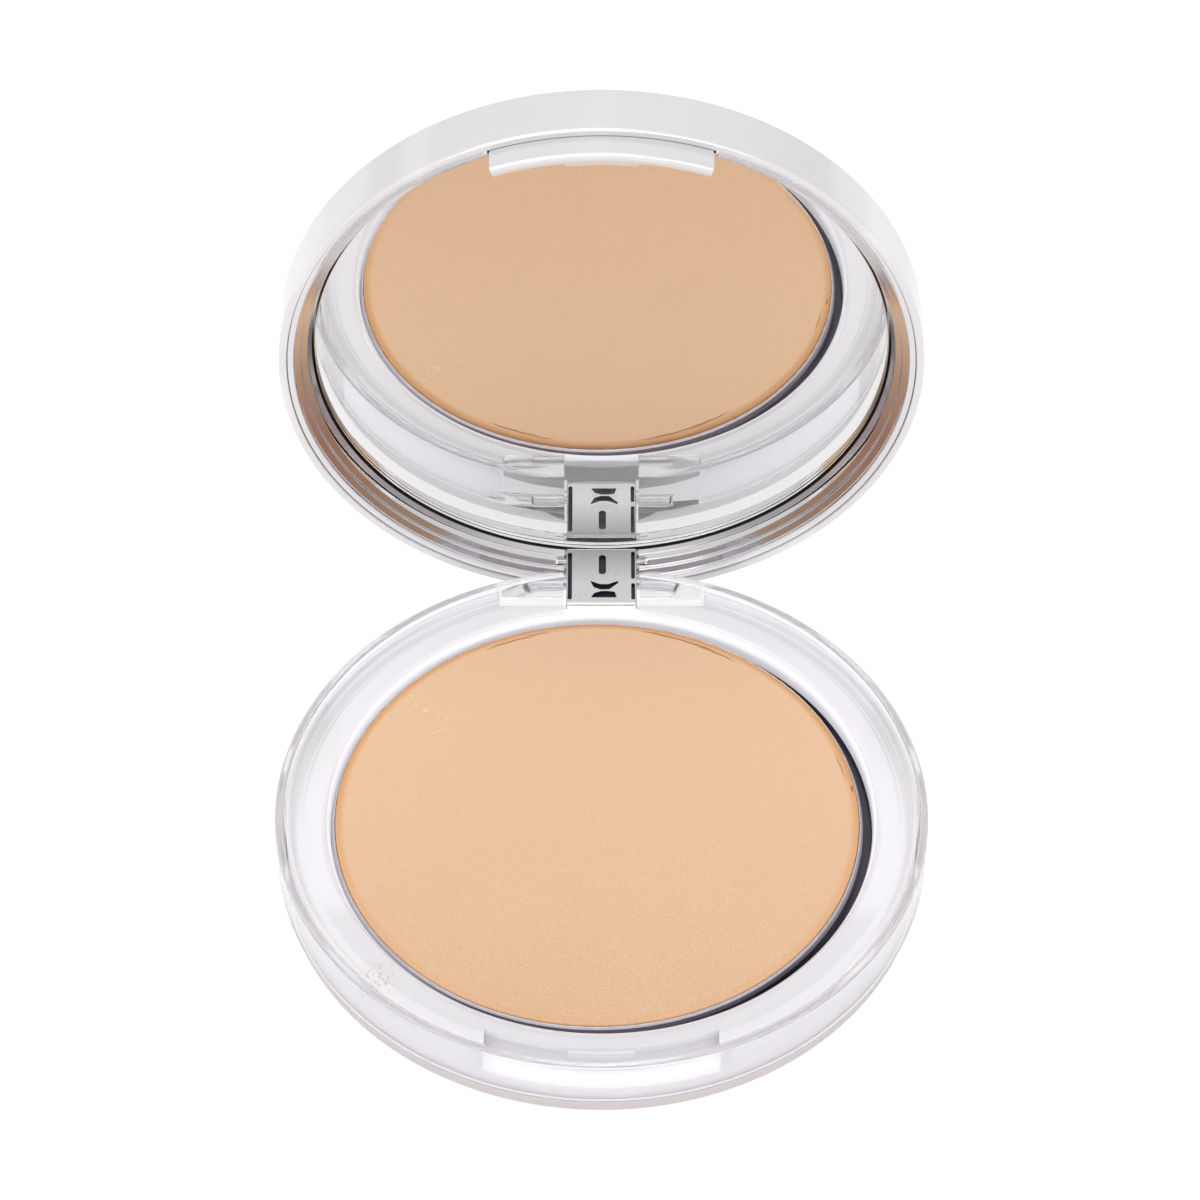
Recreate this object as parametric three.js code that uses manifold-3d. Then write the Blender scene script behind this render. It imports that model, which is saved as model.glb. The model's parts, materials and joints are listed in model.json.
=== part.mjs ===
// Round powder compact, standing open. Millimetres, +Z up.
// The origin is the centre of the base's underside; the hinge is at +Y and the latch at -Y.
// The lid is drawn where it lies when shut, in a group that is then turned open about the hinge.
import * as THREE from 'three';
import { mergeVertices } from 'three/addons/utils/BufferGeometryUtils.js';
import Module from 'manifold-3d';

const wasm = await Module();
wasm.setup();

// Case
const CASE_R = 40;            // outer radius of both shells where they meet
const WALL = 1.0;             // wall of both shells
const INNER_R = CASE_R - WALL;
const GAP = 0.3;              // room between a piece and the one that holds it
const SEGMENTS = 72;          // sides of every large turned piece
const FAR = 60;               // longer than anything it cuts

// Base shell
const BASE_H = 9.25;          // rim above the table
const FOOT_R = 39.46;         // radius at the table
const FOOT_H = 2.5;           // height of the tapered foot band
const FLOOR_T = 1.5;
const RIM_EDGE = 0.25;        // bevel on the rims
const LABEL_R = 27;
const LABEL_T = 0.2;

// Tray that frames the pan
const TRAY_R = INNER_R - GAP;
const LEDGE_Z = 8.0;
const LIP_Z = 8.9;            // raised outer edge of the ledge
const LIP_R = 38.1;
const WELL_R = 33.5;
const WELL_ROLL_R = 1.6;      // the ledge rolls over into the well
const WELL_ROLL_START = 20;   // degrees from level where the roll meets the ledge
const WELL_Z = 4.2;           // floor that the pan stands on
const TRAY_T = 1.2;

// Latch
const POCKET_HALF = 13.8;
const POCKET_R = 36.2;        // inner wall of the pocket
const POCKET_Z = 4.2;         // floor of the pocket
const CATCH_HALF = 3.9;
const CATCH_R = 36.75;
const CATCH_Z = 6.9;
const CATCH_T = 0.8;
const TAB_HALF = 13.2;
const TAB_R = 37.6;
const TAB_TIP_Z = 6.3;
const TAB_ROOT_Z = 12.6;
const SNAP_HALF = 4.7;
const SNAP_R = 36.95;
const SNAP_T = 0.45;

// Pan and powder
const PAN_X = -0.55;          // the pan was glued a little off centre
const PAN_Y = -0.1;
const PAN_R = 32.7;
const PAN_T = 0.5;
const PAN_RIM_Z = 7.25;
const GLUE_R = 20;
const GLUE_T = 0.2;
const POWDER_Z = 7.45;
const POWDER_PLAY = 0.05;

// Hinge
const HINGE_Y = 37.5;
const HINGE_Z = 3.54;
const OPEN_ANGLE = 89.5;      // lid turned back from shut, degrees
const PIN_R = 0.9;
const PIN_HALF = 9.1;
const PIN_PLAY = 0.1;
const NOTCH_HALF = 4.9;
const NOTCH_Y = 34.9;
const NOTCH_Z = 0.6;
const BOSS_HALF = 12.8;
const BOSS_Z = 8.9;
const REAR_FLAT_Y = 39.2;     // flat that lets the lid's rim swing past
const LINK_HALF = 4.55;
const BARREL_R = 2.33;
const LINK_LENGTH = 9.4;      // hinge axis to the link's end
const LINK_BACK = -0.05;      // link's rear face, from the hinge axis
const RECESS_DEPTH = 0.45;
const PEG_R = 0.45;
const PEG_Y = -0.75;
const PEG_Z = 8.4;
const PEG_HALF = 5.7;

// Lid, as it lies when shut
const LID_RIM_Z = 9.49;
const LID_TOP_Z = 16.87;      // outer edge of the top
const LID_CROWN = 0.45;       // rise of the top towards its middle
const LID_EDGE = 0.5;
const LID_INSIDE_Z = 15.7;
const BEZEL_RIM_Z = 9.75;
const BEZEL_BORE_R = 36.05;
const MIRROR_R = 35.75;
const MIRROR_Z = 13.36;
const MIRROR_T = 1.14;
const PAD_R = 33;
const PAD_T = 0.15;
const DISC_R = 35.5;
const DISC_T = 0.2;

const CLEAR = { color: 0xf2f2f5, roughness: 0.05, metalness: 0.0, transparent: true, opacity: 0.4 };
const PEARL = { color: 0xf2f0f2, roughness: 0.1, metalness: 0.3 };
const SILVERED = { color: 0xdedcdf, roughness: 0.06, metalness: 1.0 };
const FINISH = {
  base_shell: CLEAR,
  base_tray: PEARL,
  bottom_label: { color: 0xf4f4f2, roughness: 0.6, metalness: 0.0 },
  pan_adhesive: { color: 0xe8e4da, roughness: 0.7, metalness: 0.0 },
  powder_pan: { color: 0xc4c0c6, roughness: 0.3, metalness: 1.0 },
  powder_cake: { color: 0xe9c19c, roughness: 0.95, metalness: 0.0 },
  hinge_pin: { color: 0x8a8c90, roughness: 0.35, metalness: 1.0 },
  hinge_link: { color: 0xd0d0d2, roughness: 0.12, metalness: 1.0 },
  lid_shell: SILVERED,
  lid_bezel: SILVERED,
  latch_tab: SILVERED,
  mirror_glass: { color: 0xf0f2f4, roughness: 0.02, metalness: 1.0 },
  mirror_adhesive: { color: 0xe4e4e0, roughness: 0.7, metalness: 0.0 },
  lid_disc: { color: 0xd8dade, roughness: 0.25, metalness: 1.0 },
};

// ---- shape helpers ----

const radians = THREE.MathUtils.degToRad;

// A profile of [radius, height] pairs turned about the vertical axis.
function turned(profile, segments = SEGMENTS) {
  const points = profile.map(([radius, height]) => new THREE.Vector2(radius, height));
  return new THREE.LatheGeometry(points, segments).rotateX(Math.PI / 2);
}

// A ring of rectangular section.
function ring(inner, outer, low, high) {
  return turned([[inner, low], [outer, low], [outer, high], [inner, high], [inner, low]]);
}

// A disc with bevelled rims.
function disc(radius, low, high, edge = 0) {
  if (edge === 0) {
    return turned([[0, low], [radius, low], [radius, high], [0, high]]);
  }
  return turned([
    [0, low], [radius - edge, low], [radius, low + edge],
    [radius, high - edge], [radius - edge, high], [0, high],
  ]);
}

function box([x0, x1], [y0, y1], [z0, z1]) {
  const geometry = new THREE.BoxGeometry(x1 - x0, y1 - y0, z1 - z0);
  return geometry.translate((x0 + x1) / 2, (y0 + y1) / 2, (z0 + z1) / 2);
}

// A round bar along X.
function bar(radius, x0, x1, y, z, segments = 32) {
  const geometry = new THREE.CylinderGeometry(radius, radius, x1 - x0, segments);
  return geometry.rotateZ(Math.PI / 2).translate((x0 + x1) / 2, y, z);
}

// An outline drawn in the Y-Z plane, given its width along X.
function sideExtrusion(shape, half) {
  const toSide = new THREE.Matrix4().makeBasis(
    new THREE.Vector3(0, 1, 0), new THREE.Vector3(0, 0, 1), new THREE.Vector3(1, 0, 0));
  const geometry = new THREE.ExtrudeGeometry(
    shape, { depth: 2 * half, bevelEnabled: false, curveSegments: 16 });
  return geometry.applyMatrix4(toSide).translate(-half, 0, 0);
}

// An outline drawn in the X-Z plane, given its depth from y0 to y1.
function faceExtrusion(shape, y0, y1) {
  const geometry = new THREE.ExtrudeGeometry(
    shape, { depth: y1 - y0, bevelEnabled: false, curveSegments: 8 });
  return geometry.rotateX(Math.PI / 2).translate(0, y1, 0);
}

function solid(geometry) {
  const bare = geometry.clone();
  bare.deleteAttribute('normal');
  bare.deleteAttribute('uv');
  const merged = mergeVertices(bare, 1e-4);
  return new wasm.Manifold(new wasm.Mesh({
    numProp: 3,
    vertProperties: Float32Array.from(merged.attributes.position.array),
    triVerts: Uint32Array.from(merged.index.array),
  }));
}

function geometryOf(manifold) {
  const mesh = manifold.getMesh();
  const geometry = new THREE.BufferGeometry();
  geometry.setAttribute('position', new THREE.BufferAttribute(mesh.vertProperties, 3));
  geometry.setIndex(new THREE.BufferAttribute(mesh.triVerts, 1));
  return geometry;
}

function named(name, geometry) {
  geometry.computeVertexNormals();
  const mesh = new THREE.Mesh(geometry, new THREE.MeshStandardMaterial(FINISH[name]));
  mesh.name = name;
  return mesh;
}

// ---- base ----

// The dish that stands on the table, with two bosses that carry the hinge pin.
function baseShell() {
  const dish = solid(turned([
    [0, LABEL_T], [LABEL_R + GAP, LABEL_T], [LABEL_R + GAP, 0],
    [FOOT_R - 0.4, 0], [FOOT_R, 0.4], [CASE_R - 0.1, FOOT_H], [CASE_R, FOOT_H + 0.2],
    [CASE_R, BASE_H - RIM_EDGE], [CASE_R - RIM_EDGE, BASE_H],
    [INNER_R + RIM_EDGE, BASE_H], [INNER_R, BASE_H - RIM_EDGE],
    [INNER_R, FLOOR_T + 0.5], [INNER_R - 0.5, FLOOR_T], [0, FLOOR_T],
  ]));
  const bosses = solid(box([-BOSS_HALF, BOSS_HALF], [NOTCH_Y, CASE_R], [FLOOR_T / 2, BOSS_Z]))
    .intersect(solid(disc(INNER_R + WALL / 2, 0, BASE_H)));
  const notch = solid(box([-NOTCH_HALF, NOTCH_HALF], [NOTCH_Y, FAR], [NOTCH_Z, FAR]));
  const rearFlat = solid(box([-FAR, FAR], [REAR_FLAT_Y, FAR], [-FAR, FAR]));
  // The pin goes in from the left, so its bore is open there and blind on the right.
  const bore = solid(bar(PIN_R + PIN_PLAY, -CASE_R, PIN_HALF + GAP, HINGE_Y, HINGE_Z));
  return dish.add(bosses).subtract(notch).subtract(rearFlat).subtract(bore);
}

// The roll from the ledge down to the well's wall, from the ledge inwards.
function wellRoll() {
  const steps = 4;
  const points = [];
  const startAngle = radians(WELL_ROLL_START);
  for (let step = 0; step <= steps; step += 1) {
    const angle = startAngle + (Math.PI / 2 - startAngle) * step / steps;
    const drop = WELL_ROLL_R * (Math.cos(startAngle) - Math.cos(angle));
    points.push([WELL_R + WELL_ROLL_R * (1 - Math.sin(angle)), LEDGE_Z - drop]);
  }
  return points;
}

// The frame round the pan: a floor, a well, a ledge with a raised edge, and a skirt.
function baseTray() {
  const skirtR = TRAY_R - TRAY_T;
  const wellBackR = WELL_R + 1.1;
  const underside = WELL_Z - TRAY_T;
  const frame = solid(turned([
    [0, underside], [wellBackR, underside], [wellBackR, LEDGE_Z - TRAY_T],
    [skirtR, LEDGE_Z - TRAY_T], [skirtR, FLOOR_T], [TRAY_R - 0.5, FLOOR_T],
    [TRAY_R, FLOOR_T + 0.5], [TRAY_R, LIP_Z - 0.15], [TRAY_R - 0.15, LIP_Z], [LIP_R + GAP, LIP_Z],
    [LIP_R, LIP_Z - GAP], [LIP_R, LEDGE_Z], ...wellRoll(), [WELL_R, WELL_Z], [0, WELL_Z],
  ]));
  const front = (half) => solid(box([-half, half], [-FAR, 0], [-FAR, FAR]));
  const pocketWalls = solid(ring(WELL_R + 0.5, TRAY_R, POCKET_Z - 1, LEDGE_Z))
    .intersect(front(POCKET_HALF + 1));
  const pocket = solid(ring(POCKET_R, FAR, POCKET_Z, FAR)).intersect(front(POCKET_HALF));
  const catchBar = solid(ring(POCKET_R - 0.2, CATCH_R, CATCH_Z, CATCH_Z + CATCH_T))
    .intersect(front(CATCH_HALF));
  const hingeRoom = solid(box(
    [-BOSS_HALF - GAP, BOSS_HALF + GAP], [NOTCH_Y - GAP, FAR], [-FAR, FAR]));
  return frame.add(pocketWalls).subtract(pocket).add(catchBar).subtract(hingeRoom);
}

function powderPan() {
  const low = WELL_Z + GLUE_T;
  const inner = PAN_R - PAN_T;
  return turned([
    [0, low], [PAN_R - 0.6, low], [PAN_R, low + 0.6], [PAN_R, PAN_RIM_Z - 0.15],
    [PAN_R - 0.15, PAN_RIM_Z], [inner + 0.15, PAN_RIM_Z], [inner, PAN_RIM_Z - 0.15],
    [inner, low + PAN_T + 0.4], [inner - 0.4, low + PAN_T], [0, low + PAN_T],
  ]).translate(PAN_X, PAN_Y, 0);
}

function powderCake() {
  const low = WELL_Z + GLUE_T + PAN_T + POWDER_PLAY;
  const radius = PAN_R - PAN_T - POWDER_PLAY;
  return turned([
    [0, low], [radius - 0.5, low], [radius, low + 0.5], [radius, POWDER_Z - 0.4],
    [radius - 0.15, POWDER_Z - 0.15], [radius - 0.6, POWDER_Z - 0.03],
    [radius - 1.6, POWDER_Z], [0, POWDER_Z],
  ]).translate(PAN_X, PAN_Y, 0);
}

// ---- hinge ----

// A rounded slot along Z on the link's face.
function slotShape(x, low, high, halfWidth) {
  const shape = new THREE.Shape();
  shape.moveTo(x + halfWidth, low + halfWidth);
  shape.lineTo(x + halfWidth, high - halfWidth);
  shape.absarc(x, high - halfWidth, halfWidth, 0, Math.PI, false);
  shape.lineTo(x - halfWidth, low + halfWidth);
  shape.absarc(x, low + halfWidth, halfWidth, Math.PI, 2 * Math.PI, false);
  return shape;
}

function outline(points) {
  return new THREE.Shape(points.map(([x, z]) => new THREE.Vector2(x, z)));
}

// The plated link: a barrel on the pin and a plate that runs up into the lid.
function hingeLink() {
  const side = new THREE.Shape();
  side.moveTo(LINK_BACK, LINK_LENGTH);
  side.lineTo(-BARREL_R + 0.3, LINK_LENGTH);
  side.lineTo(-BARREL_R, LINK_LENGTH - 0.3);
  side.lineTo(-BARREL_R, 0);
  side.absarc(0, 0, BARREL_R, Math.PI, 2.5 * Math.PI, false);
  side.lineTo(LINK_BACK, BARREL_R);
  const eye = new THREE.Path();
  eye.absarc(0, 0, PIN_R + PIN_PLAY, 0, 2 * Math.PI, true);
  side.holes.push(eye);
  const recesses = [
    slotShape(0.1, 4.7, 8.1, 0.45),
    slotShape(-4.1, 0.3, 8.5, 0.2),
    slotShape(4.1, 0.3, 3.1, 0.2),
    slotShape(4.1, 4.0, 8.5, 0.2),
    outline([[-1.6, 0.6], [1.6, 0.6], [1.25, 1.5], [0.5, 1.75], [-0.5, 1.75], [-1.15, 1.45]]),
    outline([[-1.7, 3.3], [-1.1, 2.3], [-0.3, 2.0], [0.6, 2.05], [1.7, 3.2], [1.4, 3.4],
      [0.5, 2.9], [-0.5, 2.9], [-1.3, 3.5]]),
  ];
  const pegs = solid(bar(PEG_R, -PEG_HALF, PEG_HALF, PEG_Y, PEG_Z, 16));
  let link = solid(sideExtrusion(side, LINK_HALF)).add(pegs);
  for (const shape of recesses) {
    link = link.subtract(
      solid(faceExtrusion(shape, -BARREL_R - 1, -BARREL_R + RECESS_DEPTH)));
  }
  return link;
}

function hingePin() {
  return bar(PIN_R, -PIN_HALF, PIN_HALF, HINGE_Y, HINGE_Z);
}

// ---- lid ----

function lidShell() {
  const crown = [];
  const steps = 6;
  for (let step = 0; step <= steps; step += 1) {
    const share = 1 - step / steps;
    crown.push([(CASE_R - LID_EDGE) * share, LID_TOP_Z + LID_CROWN * (1 - share * share)]);
  }
  return turned([
    [0, LID_INSIDE_Z], [INNER_R - 0.4, LID_INSIDE_Z], [INNER_R, LID_INSIDE_Z - 0.4],
    [INNER_R, LID_RIM_Z + RIM_EDGE], [INNER_R + RIM_EDGE, LID_RIM_Z],
    [CASE_R - RIM_EDGE, LID_RIM_Z], [CASE_R, LID_RIM_Z + RIM_EDGE],
    [CASE_R, LID_TOP_Z - LID_EDGE], [CASE_R - 0.15, LID_TOP_Z - 0.15],
    ...crown,
  ]);
}

// The stepped ring between the shell's wall and the mirror.
function lidBezel() {
  const outer = INNER_R - GAP;
  const high = LID_INSIDE_Z - GAP;
  const stepped = solid(turned([
    [outer, BEZEL_RIM_Z], [outer, high - 0.4], [outer - 0.4, high], [BEZEL_BORE_R, high],
    [BEZEL_BORE_R, MIRROR_Z - 0.2], [36.5, 12.7], [36.5, 11.6], [37.3, 11.2], [37.3, 10.7],
    [38.1, 10.3], [38.1, 9.9], [38.25, BEZEL_RIM_Z], [outer, BEZEL_RIM_Z],
  ]));
  const front = (half) => solid(box([-half, half], [-FAR, 0], [-FAR, FAR]));
  const tabSeat = solid(ring(TAB_R - GAP - 0.05, FAR, 0, TAB_ROOT_Z + GAP))
    .intersect(front(TAB_HALF + GAP));
  const linkSeat = solid(box(
    [-LINK_HALF - GAP, LINK_HALF + GAP],
    [HINGE_Y - BARREL_R - GAP, HINGE_Y + LINK_BACK + GAP],
    [0, HINGE_Z + LINK_LENGTH + GAP]));
  const sockets = solid(bar(
    PEG_R + GAP, -PEG_HALF - GAP, PEG_HALF + GAP, HINGE_Y + PEG_Y, HINGE_Z + PEG_Z, 16));
  return stepped.subtract(tabSeat).subtract(linkSeat).subtract(sockets);
}

// The tongue at the front of the lid, with the lip that snaps under the tray's catch.
function latchTab() {
  const front = (half) => solid(box([-half, half], [-FAR, 0], [-FAR, FAR]));
  const tongue = solid(turned([
    [TAB_R, TAB_TIP_Z + 0.15], [TAB_R + 0.15, TAB_TIP_Z], [TRAY_R - 0.35, TAB_TIP_Z],
    [TRAY_R, TAB_TIP_Z + 0.35], [TRAY_R, TAB_ROOT_Z], [TAB_R, TAB_ROOT_Z],
    [TAB_R, TAB_TIP_Z + 0.15],
  ])).intersect(front(TAB_HALF));
  const lip = solid(turned([
    [SNAP_R + 0.2, TAB_TIP_Z], [TAB_R + 0.4, TAB_TIP_Z],
    [TAB_R + 0.4, TAB_TIP_Z + SNAP_T], [TAB_R - 0.1, TAB_TIP_Z + SNAP_T],
    [SNAP_R, TAB_TIP_Z + SNAP_T - 0.2], [SNAP_R + 0.2, TAB_TIP_Z],
  ])).intersect(front(SNAP_HALF));
  return tongue.add(lip);
}

// ---- assembly ----

const base = new THREE.Group();
base.add(
  named('base_shell', geometryOf(baseShell())),
  named('bottom_label', disc(LABEL_R, 0, LABEL_T)),
  named('base_tray', geometryOf(baseTray())),
  named('pan_adhesive', disc(GLUE_R, WELL_Z, WELL_Z + GLUE_T).translate(PAN_X, PAN_Y, 0)),
  named('powder_pan', powderPan()),
  named('powder_cake', powderCake()),
  named('hinge_pin', hingePin()),
);

const padZ = MIRROR_Z + MIRROR_T + GAP;
const discZ = padZ + PAD_T + 0.25;
const shutLid = new THREE.Group();
shutLid.position.set(0, -HINGE_Y, -HINGE_Z);
shutLid.add(
  named('lid_shell', lidShell()),
  named('lid_bezel', geometryOf(lidBezel())),
  named('latch_tab', geometryOf(latchTab())),
  named('mirror_glass', disc(MIRROR_R, MIRROR_Z, MIRROR_Z + MIRROR_T, 0.2)),
  named('mirror_adhesive', disc(PAD_R, padZ, padZ + PAD_T)),
  named('lid_disc', disc(DISC_R, discZ, discZ + DISC_T)),
);

const lid = new THREE.Group();
lid.position.set(0, HINGE_Y, HINGE_Z);
lid.rotation.x = radians(-OPEN_ANGLE);
lid.add(shutLid, named('hinge_link', geometryOf(hingeLink())));

const compact = new THREE.Group();
compact.add(base, lid);

export default compact;
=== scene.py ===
import json
import math

import bpy
from mathutils import Matrix, Vector


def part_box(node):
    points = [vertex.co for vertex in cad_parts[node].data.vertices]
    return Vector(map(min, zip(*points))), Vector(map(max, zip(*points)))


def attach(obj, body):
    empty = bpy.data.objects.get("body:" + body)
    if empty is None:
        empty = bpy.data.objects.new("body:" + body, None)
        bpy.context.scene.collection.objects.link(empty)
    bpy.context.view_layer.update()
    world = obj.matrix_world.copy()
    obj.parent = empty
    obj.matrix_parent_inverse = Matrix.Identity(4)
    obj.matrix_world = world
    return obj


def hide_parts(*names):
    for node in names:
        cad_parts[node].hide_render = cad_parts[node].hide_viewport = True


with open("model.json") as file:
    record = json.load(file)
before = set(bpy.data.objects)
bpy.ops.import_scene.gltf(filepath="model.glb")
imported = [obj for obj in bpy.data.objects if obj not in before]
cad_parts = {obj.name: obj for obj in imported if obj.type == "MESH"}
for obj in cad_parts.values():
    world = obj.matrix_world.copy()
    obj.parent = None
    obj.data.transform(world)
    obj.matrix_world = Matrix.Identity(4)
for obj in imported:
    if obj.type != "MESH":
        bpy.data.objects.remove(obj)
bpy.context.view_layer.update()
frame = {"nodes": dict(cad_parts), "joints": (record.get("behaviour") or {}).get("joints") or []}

# Looks for the open powder compact. Sizes are in millimetres, and become metres when a mesh is made.
# Lid pieces are shaped as they lie when shut, then turned open about the hinge like their CAD nodes.

MM = 0.001
SIDES = 288
BAR_SIDES = 48
SHARP_ANGLE = 32


def span(node, axis):
    low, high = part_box(node)
    return low[axis] / MM, high[axis] / MM


# ---- driving dimensions ----

CASE_R = span("base_shell", 0)[1]
BASE_H = span("base_shell", 2)[1]
WALL = 1.0
INNER_R = CASE_R - WALL
FAR = 2 * CASE_R
GAP = 0.3
FOOT_R = 39.46
FOOT_H = 2.5
FLOOR_T = 1.5
RIM_ROUND = 0.3
LABEL_R = span("bottom_label", 0)[1]
LABEL_T = 0.2

TRAY_R = span("base_tray", 0)[1]
LEDGE_Z = 8.0
LIP_Z = span("base_tray", 2)[1]
LIP_R = 38.1
WELL_R = 33.3
WELL_ROLL_R = 1.6
WELL_ROLL_START = 20
WELL_Z = 4.2
WELL_WALL_T = 1.1
WELL_SHADE_Z = 5.4
LINK_ROOM_DROP = 0.55
REAR_SKIRT_Y = 18
TRAY_T = 1.2
POCKET_HALF = 13.8
POCKET_R = 36.2
POCKET_Z = 4.2
CATCH_HALF = 3.9
CATCH_R = 36.75
CATCH_Z = 6.9
CATCH_T = 0.8

TAB_HALF = 13.2
TAB_R = 37.6
TAB_TIP_Z = 6.3
TAB_ROOT_Z = 12.6
SNAP_HALF = 4.7
TAB_OUTER_R = 38.94
SNAP_R = 36.95
SNAP_Z = 6.55
SNAP_T = 0.2

PAN_X = sum(span("powder_pan", 0)) / 2
PAN_Y = sum(span("powder_pan", 1)) / 2
PAN_R = (span("powder_pan", 0)[1] - span("powder_pan", 0)[0]) / 2
PAN_LOW, PAN_RIM_Z = span("powder_pan", 2)
PAN_T = 0.5
POWDER_Z = span("powder_cake", 2)[1]

HINGE = frame["joints"][0]
HINGE_Y = HINGE["pos_m"][1] / MM
HINGE_Z = HINGE["pos_m"][2] / MM
OPEN_ANGLE = HINGE["range_deg"][1]
PIN_R = 0.9
PIN_HALF = 9.1
BORE_R = 1.0
NOTCH_HALF = 4.9
NOTCH_Y = 34.9
NOTCH_Z = 0.6
BOSS_HALF = 12.8
BOSS_Z = 8.9
REAR_FLAT_Y = 39.2
LINK_HALF = 4.55
BARREL_R = 2.33
LINK_LENGTH = 9.4
LINK_BACK = -0.05
RECESS_DEPTH = 0.45
PEG_R = 0.45
PEG_HALF = 5.7
PEG_Y = HINGE_Y - 0.75
PEG_Z = HINGE_Z + 8.4
PEG_BORE_R = 0.75
PEG_BORE_HALF = 6

LID_RIM_Z = 9.49
LID_TOP_Z = 16.87
LID_CROWN = 0.44
LID_INSIDE_Z = 15.7
BEZEL_RIM_Z = 9.75
BEZEL_BORE_R = 36.05
BEZEL_STEPS = [(36.5, 12.7), (36.5, 11.6), (37.3, 11.2), (37.3, 10.7), (38.1, 10.3)]
BEZEL_RIM_R = 38.1
STEP_ROUND = 0.15
MIRROR_R = 35.75
MIRROR_Z = 13.36
MIRROR_T = 1.14

OPEN_LID = (
    Matrix.Translation((0, HINGE_Y * MM, HINGE_Z * MM))
    @ Matrix.Rotation(math.radians(-OPEN_ANGLE), 4, "X")
    @ Matrix.Translation((0, -HINGE_Y * MM, -HINGE_Z * MM))
)


# ---- mesh helpers ----


def new_object(name, points, faces, material):
    mesh = bpy.data.meshes.new(name)
    mesh.from_pydata([Vector(p) * MM for p in points], [], faces)
    mesh.validate()
    piece = bpy.data.objects.new(name, mesh)
    bpy.context.scene.collection.objects.link(piece)
    mesh.materials.append(material)
    return piece


def filleted(corners, steps=5):
    """Points of an outline whose corners are (x, y, fillet); each fillet is an arc of that radius."""
    points = []
    for index, (x, y, fillet) in enumerate(corners):
        if fillet == 0:
            points.append((x, y))
            continue
        here = Vector((x, y))
        towards = [
            (Vector(corners[other % len(corners)][:2]) - here).normalized()
            for other in (index - 1, index + 1)
        ]
        half = towards[0].angle(towards[1]) / 2
        centre = here + (towards[0] + towards[1]).normalized() * (fillet / math.sin(half))
        ends = [here + way * (fillet / math.tan(half)) - centre for way in towards]
        first, last = (math.atan2(end.y, end.x) for end in ends)
        sweep = (last - first + math.pi) % (2 * math.pi) - math.pi
        for step in range(steps + 1):
            angle = first + sweep * step / steps
            points.append((centre.x + fillet * math.cos(angle), centre.y + fillet * math.sin(angle)))
    return points


def lathe(name, outline, material, closed=False):
    """An outline of (radius, height) points turned about the vertical axis."""
    points, rings = [], []
    for radius, height in outline:
        count = SIDES if radius > 0 else 1
        rings.append([len(points) + k for k in range(count)])
        for k in range(count):
            turn = 2 * math.pi * k / SIDES
            points.append((radius * math.cos(turn), radius * math.sin(turn), height))
    faces = []
    pairs = list(zip(rings, rings[1:]))
    if closed:
        pairs.append((rings[-1], rings[0]))
    for low, high in pairs:
        for k in range(SIDES):
            after = (k + 1) % SIDES
            if len(low) == 1 and len(high) > 1:
                faces.append((low[0], high[after], high[k]))
            elif len(high) == 1 and len(low) > 1:
                faces.append((low[k], low[after], high[0]))
            elif len(low) > 1:
                faces.append((low[k], low[after], high[after], high[k]))
    return new_object(name, points, faces, material)


def swept(name, sections, material):
    """Closed sections, each a list of points in space, joined up and capped at both ends."""
    points = [point for section in sections for point in section]
    size = len(sections[0])
    faces = []
    for index in range(len(sections) - 1):
        start = index * size
        for k in range(size):
            after = (k + 1) % size
            faces.append((start + k, start + after, start + size + after, start + size + k))
    faces.append(tuple(reversed(range(size))))
    faces.append(tuple(range(len(points) - size, len(points))))
    return new_object(name, points, faces, material)


def block(x_range, y_range, z_range, material):
    """A box used as a cutter or a boss."""
    (x0, x1), (y0, y1), (z0, z1) = x_range, y_range, z_range
    sections = [[(x, y0, z0), (x, y1, z0), (x, y1, z1), (x, y0, z1)] for x in (x0, x1)]
    return swept("block", sections, material)


def bar(ends, y, z, material):
    """A round bar along X, whose ends are (x, radius) pairs."""
    turns = [2 * math.pi * k / BAR_SIDES for k in range(BAR_SIDES)]
    sections = [
        [(x, y + radius * math.cos(a), z + radius * math.sin(a)) for a in turns] for x, radius in ends
    ]
    return swept("bar", sections, material)


def paint(piece, material, chosen):
    """Gives the faces that chosen(middle in millimetres, normal) picks a material of their own."""
    piece.data.materials.append(material)
    index = len(piece.data.materials) - 1
    for face in piece.data.polygons:
        if chosen(face.center / MM, face.normal):
            face.material_index = index


def apply_modifiers(piece):
    graph = bpy.context.evaluated_depsgraph_get()
    mesh = bpy.data.meshes.new_from_object(piece.evaluated_get(graph), depsgraph=graph)
    piece.modifiers.clear()
    piece.data = mesh


def combine(piece, other, operation):
    """Cuts, joins or intersects piece with other, which is used up."""
    change = piece.modifiers.new("change", "BOOLEAN")
    change.operation = operation
    change.solver = "MANIFOLD"
    change.material_mode = "TRANSFER"
    change.object = other
    apply_modifiers(piece)
    bpy.data.objects.remove(other)
    return piece


def smooth(piece):
    """Smooth shading that keeps flat faces flat: a corner's normal leans to its largest faces."""
    piece.data.shade_smooth()
    piece.data.set_sharp_from_angle(angle=math.radians(SHARP_ANGLE))
    weigh = piece.modifiers.new("weigh", "WEIGHTED_NORMAL")
    weigh.mode = "FACE_AREA_WITH_ANGLE"
    weigh.weight = 100
    weigh.keep_sharp = True
    return piece


def place(piece, name, body, slot, *nodes):
    """Names a finished piece, turns it open if it is on the lid, sets it on its body and hides the CAD
    nodes it stands for.
    """
    piece.name = name
    piece.data.name = name
    if body == "lid":
        piece.data.transform(OPEN_LID)
    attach(piece, body)
    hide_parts(*nodes)
    return piece


# ---- material helpers ----


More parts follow.
